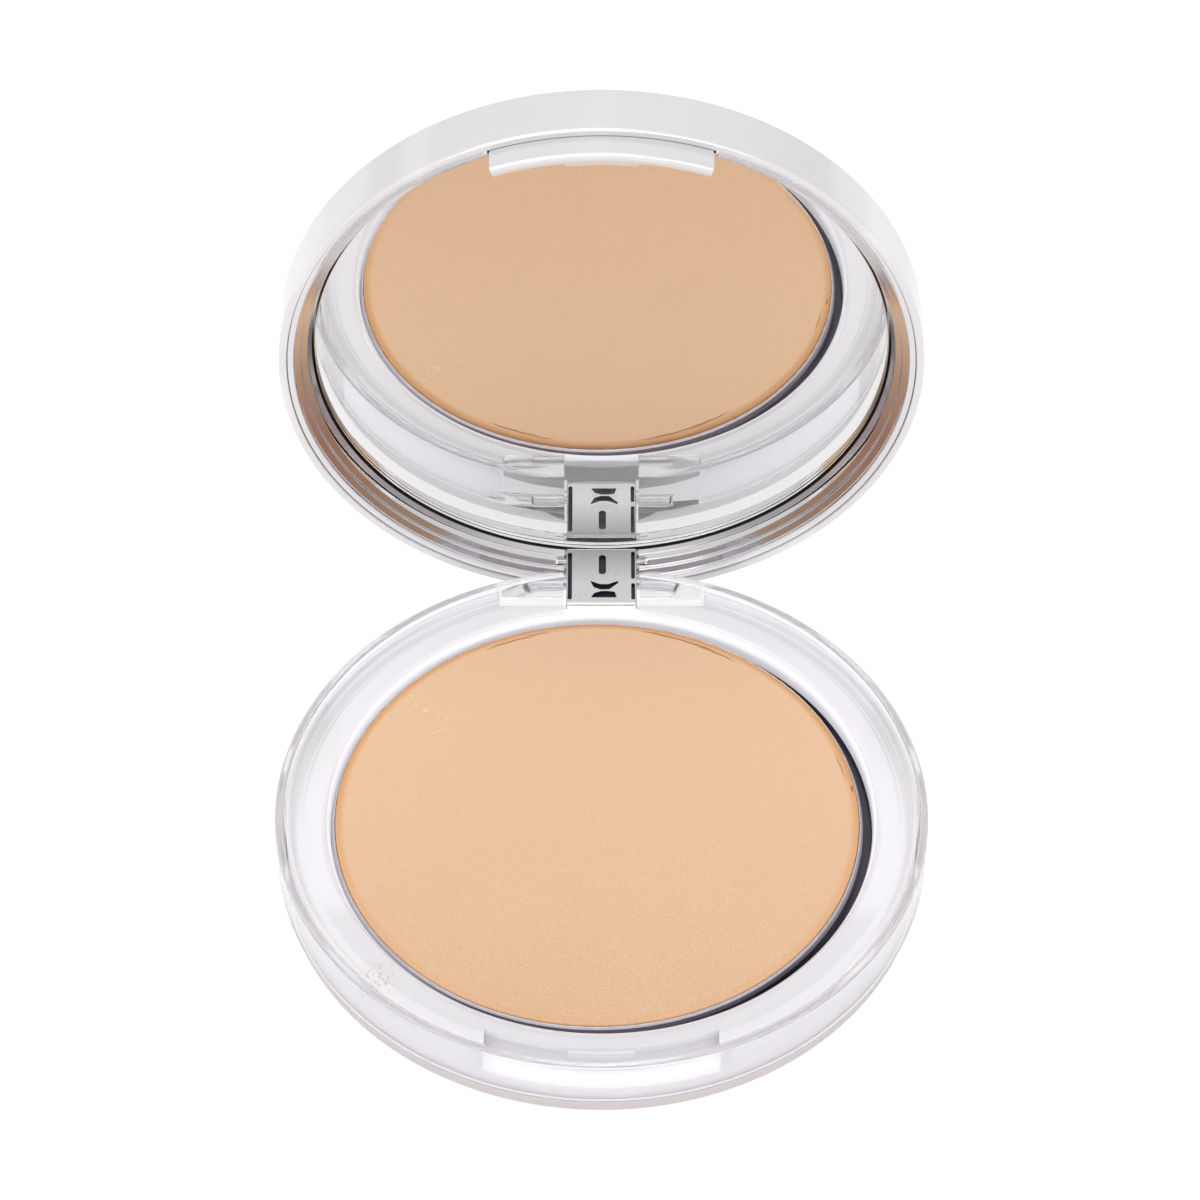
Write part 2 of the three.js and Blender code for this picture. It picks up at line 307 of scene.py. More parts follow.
class Look:
    """A material and its node tree, with short ways to add the nodes that these looks need."""

    def __init__(self, name, **sockets):
        self.material = bpy.data.materials.new(name)
        self.material.use_nodes = True
        self.nodes = self.material.node_tree.nodes
        self.links = self.material.node_tree.links
        self.shader = self.nodes["Principled BSDF"]
        for socket, value in sockets.items():
            self.shader.inputs[socket.replace("_", " ")].default_value = value
        self.place = self.nodes.new("ShaderNodeTexCoord").outputs["Object"]

    def noise(self, scale, detail, roughness=0.5, stretch=None):
        """Grey noise with scale features a metre; stretch squeezes it along an axis."""
        source = self.place
        if stretch:
            mapping = self.nodes.new("ShaderNodeMapping")
            mapping.inputs["Scale"].default_value = stretch
            self.links.new(source, mapping.inputs["Vector"])
            source = mapping.outputs["Vector"]
        node = self.nodes.new("ShaderNodeTexNoise")
        node.inputs["Scale"].default_value = scale
        node.inputs["Detail"].default_value = detail
        node.inputs["Roughness"].default_value = roughness
        self.links.new(source, node.inputs["Vector"])
        return node.outputs["Fac"]

    def remap(self, value, low, high, to_low, to_high):
        node = self.nodes.new("ShaderNodeMapRange")
        node.inputs["From Min"].default_value = low
        node.inputs["From Max"].default_value = high
        node.inputs["To Min"].default_value = to_low
        node.inputs["To Max"].default_value = to_high
        self.links.new(value, node.inputs["Value"])
        return node.outputs["Result"]

    def spread(self, noise, low=0.0, high=1.0):
        """Stretches the part of noise's range where most of it lies to low..high."""
        return self.remap(noise, 0.3, 0.7, low, high)

    def math(self, operation, first, second):
        node = self.nodes.new("ShaderNodeMath")
        node.operation = operation
        for socket, value in zip(node.inputs, (first, second)):
            if isinstance(value, (int, float)):
                socket.default_value = value
            else:
                self.links.new(value, socket)
        return node.outputs["Value"]

    def mix(self, share, first, second):
        node = self.nodes.new("ShaderNodeMix")
        node.data_type = "RGBA"
        self.links.new(share, node.inputs["Factor"])
        for socket, value in zip((node.inputs[6], node.inputs[7]), (first, second)):
            if isinstance(value, tuple):
                socket.default_value = (*value, 1.0)
            else:
                self.links.new(value, socket)
        return node.outputs[2]

    def bump(self, height, depth, strength):
        """Bumps of that depth in millimetres."""
        node = self.nodes.new("ShaderNodeBump")
        node.inputs["Strength"].default_value = strength
        node.inputs["Distance"].default_value = depth * MM
        self.links.new(height, node.inputs["Height"])
        self.links.new(node.outputs["Normal"], self.shader.inputs["Normal"])

    def along(self, axis):
        """The place's x, y or z, in metres, in the open pose."""
        split = self.nodes.new("ShaderNodeSeparateXYZ")
        self.links.new(self.place, split.inputs[0])
        return split.outputs[axis]

    def distance(self, point):
        """How far the place is from a point, in metres."""
        node = self.nodes.new("ShaderNodeVectorMath")
        node.operation = "DISTANCE"
        node.inputs[1].default_value = point
        self.links.new(self.place, node.inputs[0])
        return node.outputs["Value"]

    def drive(self, socket, value):
        self.links.new(value, self.shader.inputs[socket])


def scaled(colour, factor):
    return tuple(factor * part for part in colour)


# ---- materials ----

# Where the looks change over the object: from and to, or a place, in metres in the open pose.
SHADED_LEDGE_R = (0.0365, 0.0369)
SHADED_LEDGE_Y = (-0.0145, -0.012)
REFLECTED_RINGS_R = (0.0362, 0.0366)
REFLECTED_RINGS_Y = (-0.004, 0.012)
REFLECTED_RINGS_Z = (0.0074, 0.0077)
CRUMBS_AT = (-0.0265, -0.0261, 0.008)
CRUMBS_FADE = (0.0008, 0.0034)
FOOT_PAINTED_LIGHT_Y = (0.005, 0.03)
POWDER_PAINTED_LIGHT_Y = (-0.033, 0.033)
POWDER_EDGE_R = ((PAN_R - 1.65) * MM, (PAN_R - 0.95) * MM)
POWDER_EDGE_Y = (-0.028, 0.008)
POWDER_MIDDLE = (PAN_X * MM, PAN_Y * MM, POWDER_Z * MM)
NICKS_AT = (-0.023, 0.0156, POWDER_Z * MM)
NICKS_FADE = (0.0035, 0.0075)
CRACK_DEPTHS = (0.01, 0.06)
LINK_SHADE_Y = (0.0405, 0.0468)
LIT_PAN_SIDE = (0.019, 0.0315)
PAN_SHADE_X = 0.003
BEZEL_REFLECTION_HEIGHTS = (0.0, 0.08)


def clear_plastic(name, tint, handling, clear=0.93):
    """Polished, slightly milky acrylic: faint moulding waves, and fine scratches from handling."""
    look = Look(name, IOR=1.3, Transmission_Weight=clear, Base_Color=(*tint, 1.0))
    haze = look.noise(90, detail=4)
    scratches = look.noise(260, detail=2, stretch=(1, 9, 1))
    worn = look.math("MULTIPLY", haze, scratches)
    look.drive("Roughness", look.remap(worn, 0.15, 0.5, 0.012, 0.012 + handling))
    look.bump(look.noise(35, detail=1), 0.03, 0.03)
    return look.material


def coating(name, colour, metal_share, rough, streaked=True):
    """A vacuum-metallised coat: the slow waves of the moulding under it, and a light haze.

    On walls that run along the lid's axis it has paler streaks too.
    """
    look = Look(name, Metallic=metal_share)
    cloud = look.noise(45, detail=3)
    tone = look.mix(look.spread(cloud), scaled(colour, 0.97), colour)
    if streaked:
        streaks = look.remap(look.noise(85, detail=1, stretch=(1, 0.08, 1)), 0.56, 0.66, 0.0, 0.7)
        tone = look.mix(streaks, tone, scaled(colour, 1.09))
    look.drive("Base Color", tone)
    look.drive("Roughness", look.spread(look.noise(160, detail=4), rough * 0.7, rough * 1.3))
    look.bump(cloud, 0.04, 0.3)
    return look.material


def bezel_painted_reflections():
    """The bezel's steps: painted reflections that make them darker and browner towards the hinge, and
    bright again at the lowest point.
    """
    look = Look("bezel_step_painted_reflections", Metallic=1.0)
    ramp = look.nodes.new("ShaderNodeValToRGB")
    stops = ramp.color_ramp.elements
    stops[0].position, stops[0].color = 0.05, (0.68, 0.66, 0.67, 1.0)
    stops[1].position, stops[1].color = 0.62, (0.76, 0.75, 0.76, 1.0)
    middle_stops = (
        (0.13, (0.36, 0.35, 0.355, 1.0)),
        (0.35, (0.34, 0.27, 0.28, 1.0)),
        (0.50, (0.50, 0.46, 0.46, 1.0)),
    )
    for position, colour in middle_stops:
        stops.new(position).color = colour
    look.links.new(look.remap(look.along("Z"), *BEZEL_REFLECTION_HEIGHTS, 0.0, 1.0), ramp.inputs["Fac"])
    look.drive("Base Color", ramp.outputs["Color"])
    look.drive("Roughness", look.spread(look.noise(160, detail=4), 0.08, 0.14))
    return look.material


def pearl(name, colour, glow):
    """Pearly, faintly translucent plastic with slow waves, a light haze and a few crumbs of powder. Its
    faint glow is painted light, and its ledge has painted reflections.
    """
    look = Look(name, IOR=1.49, Transmission_Weight=0.3, Emission_Color=(1.0, 0.98, 1.0, 1.0),
                Emission_Strength=glow)
    cloud = look.noise(45, detail=3)
    tone = look.mix(look.spread(cloud), scaled(colour, 0.985), colour)

    # A painted reflection: a darker zone on the inner part of the ledge at the front.
    x, y, z = look.along("X"), look.along("Y"), look.along("Z")
    squares = look.math("ADD", look.math("MULTIPLY", x, x), look.math("MULTIPLY", y, y))
    radius = look.math("SQRT", squares, 0.0)
    wobble = look.math("MULTIPLY", look.noise(60, detail=1), 0.004)
    inner = look.remap(radius, *SHADED_LEDGE_R, 1.0, 0.0)
    front = look.remap(look.math("ADD", y, wobble), *SHADED_LEDGE_Y, 0.85, 0.0)
    tone = look.mix(look.math("MULTIPLY", inner, front), tone, scaled(colour, 0.86))

    # Painted reflections: fine darker rings on the outer part of the ledge at the back.
    rings = look.nodes.new("ShaderNodeTexNoise")
    rings.noise_dimensions = "1D"
    rings.inputs["Scale"].default_value = 2800
    rings.inputs["Detail"].default_value = 1.0
    look.links.new(look.math("ADD", radius, look.math("MULTIPLY", y, 0.012)), rings.inputs["W"])
    outer = look.remap(radius, *REFLECTED_RINGS_R, 0.0, 1.0)
    back = look.math("MULTIPLY", outer, look.remap(y, *REFLECTED_RINGS_Y, 0.0, 1.0))
    back = look.math("MULTIPLY", back, look.remap(z, *REFLECTED_RINGS_Z, 0.0, 1.0))
    line = look.remap(rings.outputs["Fac"], 0.4, 0.6, 0.0, 1.0)
    tone = look.mix(back, tone, look.mix(line, scaled(colour, 0.72), scaled(colour, 0.93)))

    # Crumbs of powder on the ledge at the front left.
    near = look.remap(look.distance(CRUMBS_AT), *CRUMBS_FADE, 1.0, 0.0)
    crumbs = look.remap(look.noise(2300, detail=2), 0.55, 0.61, 0.0, 0.85)
    tone = look.mix(look.math("MULTIPLY", near, crumbs), tone, (0.48, 0.42, 0.37))
    look.drive("Base Color", tone)
    look.drive("Roughness", look.spread(look.noise(160, detail=4), 0.03, 0.06))
    look.bump(cloud, 0.04, 0.3)
    return look.material


def frosted(name, colour):
    """The base's foot: satin, half see-through plastic with a fine grain; it is painted paler towards
    the hinge, painted light where the lid shades it.
    """
    look = Look(name, IOR=1.3, Transmission_Weight=0.35)
    grain = look.noise(1400, detail=3)
    tone = look.mix(look.spread(grain), scaled(colour, 0.97), colour)
    # Painted light: paler towards the hinge, where the lid shades the foot.
    rear = look.remap(look.along("Y"), *FOOT_PAINTED_LIGHT_Y, 0.0, 1.0)
    look.drive("Base Color", look.mix(rear, tone, (0.95, 0.94, 0.955)))
    look.drive("Roughness", look.spread(grain, 0.4, 0.5))
    look.bump(grain, 0.02, 0.3)
    return look.material


def powder():
    """Pressed face powder: matt grain, a deeper edge, a few pale nicks and hairline cracks with painted
    shade in them; painted lighter towards the back, where the lid shades it.
    """
    base = (0.695, 0.455, 0.289)
    look = Look("pressed_powder", Roughness=0.95, Specular_IOR_Level=0.15)
    grain = look.noise(3600, detail=2, roughness=0.7)
    cloud = look.noise(60, detail=4)
    fleck = look.noise(1500, detail=1)
    tone = look.mix(look.spread(cloud), base, (0.725, 0.478, 0.306))
    tone = look.mix(look.remap(grain, 0.35, 0.7, 0.0, 0.66), tone, (0.56, 0.34, 0.2))
    tone = look.mix(look.remap(fleck, 0.72, 0.80, 0.0, 0.2), tone, (0.9, 0.68, 0.48))
    y = look.along("Y")
    # Painted light: lighter towards the back, where the lid shades the powder.
    tone = look.mix(look.remap(y, *POWDER_PAINTED_LIGHT_Y, 0.0, 1.0), tone, (0.80, 0.535, 0.35))
    edge = look.remap(look.distance(POWDER_MIDDLE), *POWDER_EDGE_R, 0.0, 0.9)
    edge = look.math("MULTIPLY", edge, look.remap(y, *POWDER_EDGE_Y, 0.25, 1.0))
    tone = look.mix(edge, tone, (0.66, 0.335, 0.14))
    near = look.remap(look.distance(NICKS_AT), *NICKS_FADE, 1.0, 0.0)
    nicks = look.remap(look.noise(850, detail=2, stretch=(2.2, 1, 1)), 0.67, 0.71, 0.0, 0.55)
    tone = look.mix(look.math("MULTIPLY", near, nicks), tone, (0.93, 0.72, 0.53))
    # Painted shade in the hairline cracks.
    crack = look.nodes.new("ShaderNodeAttribute")
    crack.attribute_name = "crack_depth"
    crack_shade = look.remap(crack.outputs["Fac"], *CRACK_DEPTHS, 0.0, 0.9)
    look.drive("Base Color", look.mix(crack_shade, tone, (0.40, 0.18, 0.08)))
    height = look.math("ADD", grain, look.math("MULTIPLY", look.noise(900, detail=3), 0.8))
    look.bump(height, 0.06, 0.7)
    return look.material


def metal(name, colour, rough, brushed, ripple, streak=0.86, shaded=False):
    """Brushed or plated metal; if shaded, it gets painted shade towards the lid, which hides the light.
    """
    look = Look(name, Metallic=1.0)
    streaks = look.noise(700, detail=4, stretch=brushed)
    tone = look.mix(look.spread(streaks), scaled(colour, streak), colour)
    # Painted shade: darker towards the lid.
    if shaded:
        near_lid = look.remap(look.along("Y"), *LINK_SHADE_Y, 0.0, 1.0)
        tone = look.mix(near_lid, tone, scaled(colour, 0.52))
    look.drive("Base Color", tone)
    look.drive("Roughness", look.spread(streaks, rough * 0.75, rough * 1.3))
    look.bump(streaks, ripple, 0.3)
    return look.material


def pan_side():
    """The pan's outer wall: tinplate with painted shade where the well shades it, painted lighter at the
    sides.
    """
    look = Look("pan_side_painted_shade", Metallic=1.0)
    aside = look.math("ABSOLUTE", look.math("SUBTRACT", look.along("X"), PAN_SHADE_X), 0.0)
    streaks = look.spread(look.noise(700, detail=4, stretch=(1, 1, 6)))
    shade = look.mix(streaks, (0.14, 0.12, 0.15), (0.16, 0.14, 0.17))
    lit = look.remap(aside, *LIT_PAN_SIDE, 0.0, 1.0)
    look.drive("Base Color", look.mix(lit, shade, (0.60, 0.58, 0.61)))
    look.drive("Roughness", look.remap(streaks, 0.0, 1.0, 0.26, 0.45))
    look.bump(streaks, 0.02, 0.3)
    return look.material


def dull(name, colour, rough, scale, depth):
    """Glue, paper, and dark painted shade on the link's recesses, the pin's ends, the well's wall and
    the mirror's gap: one hue with fine mottling.
    """
    look = Look(name)
    mottle = look.noise(scale, detail=5)
    tone = look.mix(look.spread(mottle), scaled(colour, 0.9), colour)
    look.drive("Base Color", tone)
    look.drive("Roughness", look.spread(mottle, rough * 0.85, rough))
    look.bump(mottle, depth, 0.4)
    return look.material


def mirror_front():
    tint = (0.995, 1.0, 0.998, 1.0)
    look = Look("mirror_glass_front", IOR=1.52, Transmission_Weight=1.0, Base_Color=tint)
    look.drive("Roughness", look.remap(look.noise(70, detail=4), 0.4, 0.75, 0.0, 0.012))
    return look.material


def mirror_silver():
    look = Look("mirror_silver", Metallic=1.0, Base_Color=(0.86, 0.855, 0.85, 1.0))
    look.drive("Roughness", look.remap(look.noise(50, detail=3), 0.4, 0.8, 0.0, 0.01))
    return look.material


LACQUER_TONE = (0.71, 0.70, 0.71)
SHELL = clear_plastic("clear_shell_acrylic", (0.995, 0.99, 1.0), 0.03)
RIM = clear_plastic("rim_milky_acrylic", (0.90, 0.88, 0.91), 0.03, 0.65)
FOOT = frosted("foot_satin_acrylic", (0.68, 0.61, 0.615))
# Painted light: both pearls glow a little, and the brighter copy glows more.
PEARL = pearl("pearl_silver_plastic", (0.83, 0.815, 0.84), 0.09)
PEARL_PAINTED_LIGHT = pearl("pearl_bright_painted_light", (0.84, 0.86, 0.92), 0.3)
WELL_SHADE = dull("well_shaded_plastic", (0.10, 0.085, 0.12), 0.5, 600, 0.02)
PAN_SIDE_SHADE = pan_side()
SILVERED = coating("silver_metallised_plastic", (0.75, 0.74, 0.75), 1.0, 0.06)
LACQUERED = coating("lacquered_silver_plastic", LACQUER_TONE, 0.5, 0.15)
LID_TOP = coating("lacquered_silver_top", LACQUER_TONE, 0.5, 0.15, streaked=False)
POWDER = powder()
PAN = metal("pan_tinplate", (0.70, 0.67, 0.70), 0.28, (1, 1, 6), 0.02)
LINK = metal("link_plating", (0.78, 0.765, 0.765), 0.16, (3, 1, 1), 0.004, 0.96, shaded=True)
RECESS = dull("link_recess_painted_shade", (0.012, 0.014, 0.03), 0.35, 1800, 0.02)
PIN = metal("pin_wire_steel", (0.84, 0.84, 0.86), 0.3, (1, 8, 8), 0.02)
GLUE = dull("glue_pad", (0.80, 0.78, 0.72), 0.6, 400, 0.05)
PAPER = dull("label_satin_paper", (0.86, 0.86, 0.84), 0.6, 2500, 0.02)
DISC = metal("disc_satin_silver", (0.80, 0.81, 0.83), 0.3, (1, 1, 5), 0.01)
GAP_SHADE = dull("mirror_gap_shade", (0.015, 0.014, 0.016), 0.6, 900, 0.02)
BEZEL_REFLECTIONS = bezel_painted_reflections()
GLASS = mirror_front()
SILVER = mirror_silver()


# ---- base ----


def make_base_shell():
    shell = lathe("base_shell_clear", filleted([
        (0, LABEL_T, 0), (LABEL_R + GAP, LABEL_T, 0), (LABEL_R + GAP, 0, 0.1),
        (FOOT_R - 0.15, 0, 0.4), (CASE_R - 0.12, FOOT_H, 0), (CASE_R - 0.02, FOOT_H + 0.12, 0),
        (CASE_R, BASE_H, RIM_ROUND), (INNER_R, BASE_H, RIM_ROUND),
        (INNER_R, FLOOR_T, 0.5), (0, FLOOR_T, 0),
    ]), SHELL)
    bosses = block((-BOSS_HALF, BOSS_HALF), (NOTCH_Y, CASE_R), (FLOOR_T / 2, BOSS_Z), SHELL)
    core_r = INNER_R + WALL / 2
    core = lathe("core", [(0, 0), (core_r, 0), (core_r, BASE_H), (0, BASE_H)], SHELL)
    combine(bosses, core, "INTERSECT")
    combine(shell, bosses, "UNION")
    notch = block((-NOTCH_HALF, NOTCH_HALF), (NOTCH_Y, FAR), (NOTCH_Z, FAR), SHELL)
    combine(shell, notch, "DIFFERENCE")
    combine(shell, block((-FAR, FAR), (REAR_FLAT_Y, FAR), (-FAR, FAR), SHELL), "DIFFERENCE")
    bore = bar([(-CASE_R, BORE_R), (PIN_HALF + GAP, BORE_R)], HINGE_Y, HINGE_Z, SHELL)
    combine(shell, bore, "DIFFERENCE")
    paint(shell, FOOT, lambda middle, _: middle.xy.length > FOOT_R - 0.5
          and 0.02 < middle.z < FOOT_H + 0.05)
    paint(shell, RIM, lambda middle, normal: middle.z > BASE_H - 0.2 and normal.z > 0.3)
    smooth(shell)
    return place(shell, "base_shell_clear", "base", "clear_shell", "base_shell")


def well_roll(steps=8):
    """The roll from the ledge down to the well's wall."""
    start = math.radians(WELL_ROLL_START)
    points = []
    for step in range(steps + 1):
        angle = start + (math.pi / 2 - start) * step / steps
        drop = WELL_ROLL_R * (math.cos(start) - math.cos(angle))
        points.append((WELL_R + WELL_ROLL_R * (1 - math.sin(angle)), LEDGE_Z - drop, 0))
    return points


def front_arc(inner, outer, low, high, half, round_edge=0.0):
    """A piece of a ring at the front of the tray, half wide to either side."""
    piece = lathe("arc", filleted([
        (inner, low, 0), (outer, low, 0), (outer, high, round_edge), (inner, high, 0),
    ]), PEARL, closed=True)
    return combine(piece, block((-half, half), (-FAR, 0), (-FAR, FAR), PEARL), "INTERSECT")


def on_roll(middle, _):
    return middle.xy.length < WELL_R + 0.5 and WELL_SHADE_Z + 0.1 < middle.z < LEDGE_Z


def on_pocket_floor(middle, normal):
    return middle.xy.length > POCKET_R and normal.z > 0.9 and middle.z < POCKET_Z + 0.1


def on_rear_skirt(middle, _):
    return (middle.y > REAR_SKIRT_Y and middle.xy.length > TRAY_R - 0.6
            and FLOOR_T + 0.1 < middle.z < LEDGE_Z - 0.3)


def on_well_wall(middle, _):
    return middle.xy.length < WELL_R + 0.06 and WELL_Z - 0.1 < middle.z < WELL_SHADE_Z


def make_base_tray():
    skirt = TRAY_R - TRAY_T
    back = WELL_R + WELL_WALL_T
    tray = lathe("base_tray", filleted([
        (0, WELL_Z - TRAY_T, 0), (back, WELL_Z - TRAY_T, 0.3), (back, LEDGE_Z - TRAY_T, 0.3),
        (skirt, LEDGE_Z - TRAY_T, 0.3), (skirt, FLOOR_T, 0), (TRAY_R - 0.5, FLOOR_T, 0),
        (TRAY_R, FLOOR_T + 0.5, 0), (TRAY_R, LIP_Z, 0.15), (LIP_R + 0.15, LIP_Z, 0.12),
        (LIP_R, LIP_Z - 0.4, 0), (LIP_R, LEDGE_Z, 0.2), *well_roll(),
        (WELL_R, WELL_SHADE_Z, 0), (WELL_R, WELL_Z, 0.3), (0, WELL_Z, 0),
    ]), PEARL)
    solid_round_pocket = front_arc(WELL_R + 0.5, TRAY_R, POCKET_Z - 1, LEDGE_Z - 0.3, POCKET_HALF + 1)
    combine(tray, solid_round_pocket, "UNION")
    combine(tray, front_arc(POCKET_R, FAR, POCKET_Z, FAR, POCKET_HALF), "DIFFERENCE")
    catch = front_arc(POCKET_R - 0.2, CATCH_R, CATCH_Z, CATCH_Z + CATCH_T, CATCH_HALF, 0.2)
    combine(tray, catch, "UNION")
    link_low = LEDGE_Z - LINK_ROOM_DROP
    link_room = block((-NOTCH_HALF, NOTCH_HALF), (WELL_R - 0.3, FAR), (link_low, FAR), PEARL)
    combine(tray, link_room, "DIFFERENCE")
    room = BOSS_HALF + GAP
    combine(tray, block((-room, room), (NOTCH_Y - GAP, FAR), (-FAR, FAR), PEARL), "DIFFERENCE")
    # Painted light: the roll, the pocket's floor and the rear skirt get the brighter, more glowing
    # pearl.
    paint(tray, PEARL_PAINTED_LIGHT, on_roll)
    paint(tray, PEARL_PAINTED_LIGHT, on_pocket_floor)
    paint(tray, PEARL_PAINTED_LIGHT, on_rear_skirt)
    paint(tray, WELL_SHADE, on_well_wall)
    smooth(tray)
    return place(tray, "base_tray_pearl", "base", "pearl_tray", "base_tray")


def make_pan():
    """A drawn pan, whose rim slopes in from its outer wall; below the slope the wall has painted shade.
    """
    inner = PAN_R - PAN_T
    slope_r = inner + 0.3
    slope_z = PAN_RIM_Z - 0.45
    pan = lathe("pan_drawn", filleted([
        (0, PAN_LOW, 0), (PAN_R, PAN_LOW, 0.6), (PAN_R, PAN_RIM_Z - 0.9, 0.08),
        (slope_r, slope_z, 0), (inner + 0.14, PAN_RIM_Z - 0.1, 0.06), (inner, PAN_RIM_Z - 0.15, 0.05),
        (inner, PAN_LOW + PAN_T, 0.4), (0, PAN_LOW + PAN_T, 0),
    ]), PAN)
    # Painted shade on the outer wall below the slope.
    paint(pan, PAN_SIDE_SHADE, lambda middle, _: middle.xy.length > slope_r + 0.02
          and middle.z < slope_z - 0.01)
    pan.data.transform(Matrix.Translation((PAN_X * MM, PAN_Y * MM, 0)))
    smooth(pan)
    return place(pan, "pan_drawn", "base", "pan_metal", "powder_pan")


CAKE_R = PAN_R - PAN_T - 0.05
CAKE_SIDES = 720
COARSE_RINGS = [CAKE_R * share for share in (0.12, 0.3, 0.5, 0.7, 0.85)]
FINE_FROM = CAKE_R * 0.9
FINE_STEPS = 44
FINE_RINGS = [FINE_FROM + (CAKE_R - FINE_FROM) * step / FINE_STEPS for step in range(FINE_STEPS + 1)]
EDGE_DROP = 0.22
EDGE_WIDTH = 0.12
CRUMBLE_DROP = 0.0125
CRUMBLE_WIDTH = 0.5
CRACK_HALF_WIDTH = 0.085

# Hairline cracks near the edge, mostly at the back: middle angle and half length in degrees,
# distance in from the edge, depth.
CRACKS = [
    (111, 7, 1.08, 0.13),
    (104, 4, 0.9, 0.08),
    (69, 9, 0.95, 0.13),
    (61, 6, 1.12, 0.12),
    (76, 5, 0.8, 0.07),
    (15, 5, 0.9, 0.07),
    (8, 1, 0.35, 0.25),
]


def crack_depth(radius, turn):
    """How far the powder's top is cut down there by its hairline cracks."""
    depth = 0.0
    for middle, half, inset, deep in CRACKS:
        along = (math.degrees(turn) - middle) / half
        if abs(along) >= 1:
            continue
        wander = 0.035 * math.sin(9 * along + middle) + 0.02 * math.sin(31 * along)
        across = (radius - (CAKE_R - inset + wander)) / CRACK_HALF_WIDTH
        depth = max(depth, deep * (1 - along * along) * math.exp(-across * across))
    return depth


def ring(radius, height):
    """The points of one ring of the powder."""
    turns = [2 * math.pi * k / CAKE_SIDES for k in range(CAKE_SIDES)]
    return [(radius * math.cos(turn), radius * math.sin(turn), height) for turn in turns]


def top_ring(radius, wear):
    """One ring of the powder's top; adds the depth of the cracks at each of its points to wear."""
    inset = CAKE_R - radius
    edge = EDGE_DROP * math.exp(-inset / EDGE_WIDTH)
    points = []
    for k in range(CAKE_SIDES):
        turn = 2 * math.pi * k / CAKE_SIDES
        waves = math.sin(37 * turn) + math.sin(61 * turn + 2) + math.sin(97 * turn)
        crumble = CRUMBLE_DROP * math.exp(-inset / CRUMBLE_WIDTH) * waves
        crack = crack_depth(radius, turn)
        drop = max(edge + crumble + crack, 0)
        wear.append(crack)
        points.append((radius * math.cos(turn), radius * math.sin(turn), POWDER_Z - drop))
    return points


def make_powder():
    """The cake: its top is a fine polar grid, rounded and crumbly at the edge, with hairline cracks."""
    low = PAN_LOW + PAN_T + 0.05
    points = [(0, 0, POWDER_Z)]
    wear = [0.0]
    for radius in COARSE_RINGS + FINE_RINGS:
        points += top_ring(radius, wear)
    points += ring(CAKE_R, low + 0.5)
    points += ring(CAKE_R - 0.5, low)
    last = len(points)
    points.append((0, 0, low))
    faces = [(1 + k, 1 + (k + 1) % CAKE_SIDES, 0) for k in range(CAKE_SIDES)]
    for inner in range(1, last - CAKE_SIDES, CAKE_SIDES):
        outer = inner + CAKE_SIDES
        for k in range(CAKE_SIDES):
            after = (k + 1) % CAKE_SIDES
            faces.append((inner + k, outer + k, outer + after, inner + after))
    under = last - CAKE_SIDES
    faces += [(under + (k + 1) % CAKE_SIDES, under + k, last) for k in range(CAKE_SIDES)]
    cake = new_object("powder_pressed", points, faces, POWDER)
    wear += [0.0] * (len(points) - len(wear))
    cake.data.attributes.new("crack_depth", "FLOAT", "POINT").data.foreach_set("value", wear)
    cake.data.transform(Matrix.Translation((PAN_X * MM, PAN_Y * MM, 0)))
    cake.data.shade_smooth()
    return place(cake, "powder_pressed", "base", "powder", "powder_cake")


def make_pin():
    bevel = 0.15
    ends = [(PIN_HALF - bevel, PIN_R), (PIN_HALF, PIN_R - bevel)]
    pin = bar([(-x, radius) for x, radius in reversed(ends)] + ends, HINGE_Y, HINGE_Z, PIN)
    smooth(pin)
    # The pin's ends get the dark painted shade of the link's recesses.
    paint(pin, RECESS, lambda _, normal: abs(normal.x) > 0.5)
    return place(pin, "hinge_pin_steel", "base", "pin_steel", "hinge_pin")


# ---- hinge link ----


def recess(outline):
    """A cutter for the link's face, from an outline of (x, distance from the hinge axis)."""
    sections = [
        [(x, HINGE_Y + y, HINGE_Z + z) for x, z in outline]
        for y in (-BARREL_R + RECESS_DEPTH, -BARREL_R - 1)
    ]
    return swept("recess", sections, RECESS)


def slot_outline(x, low, high, half):
    fillet = 0.98 * half
    return filleted([
        (x - half, low, fillet), (x + half, low, fillet),
        (x + half, high, fillet), (x - half, high, fillet),
    ], steps=8)


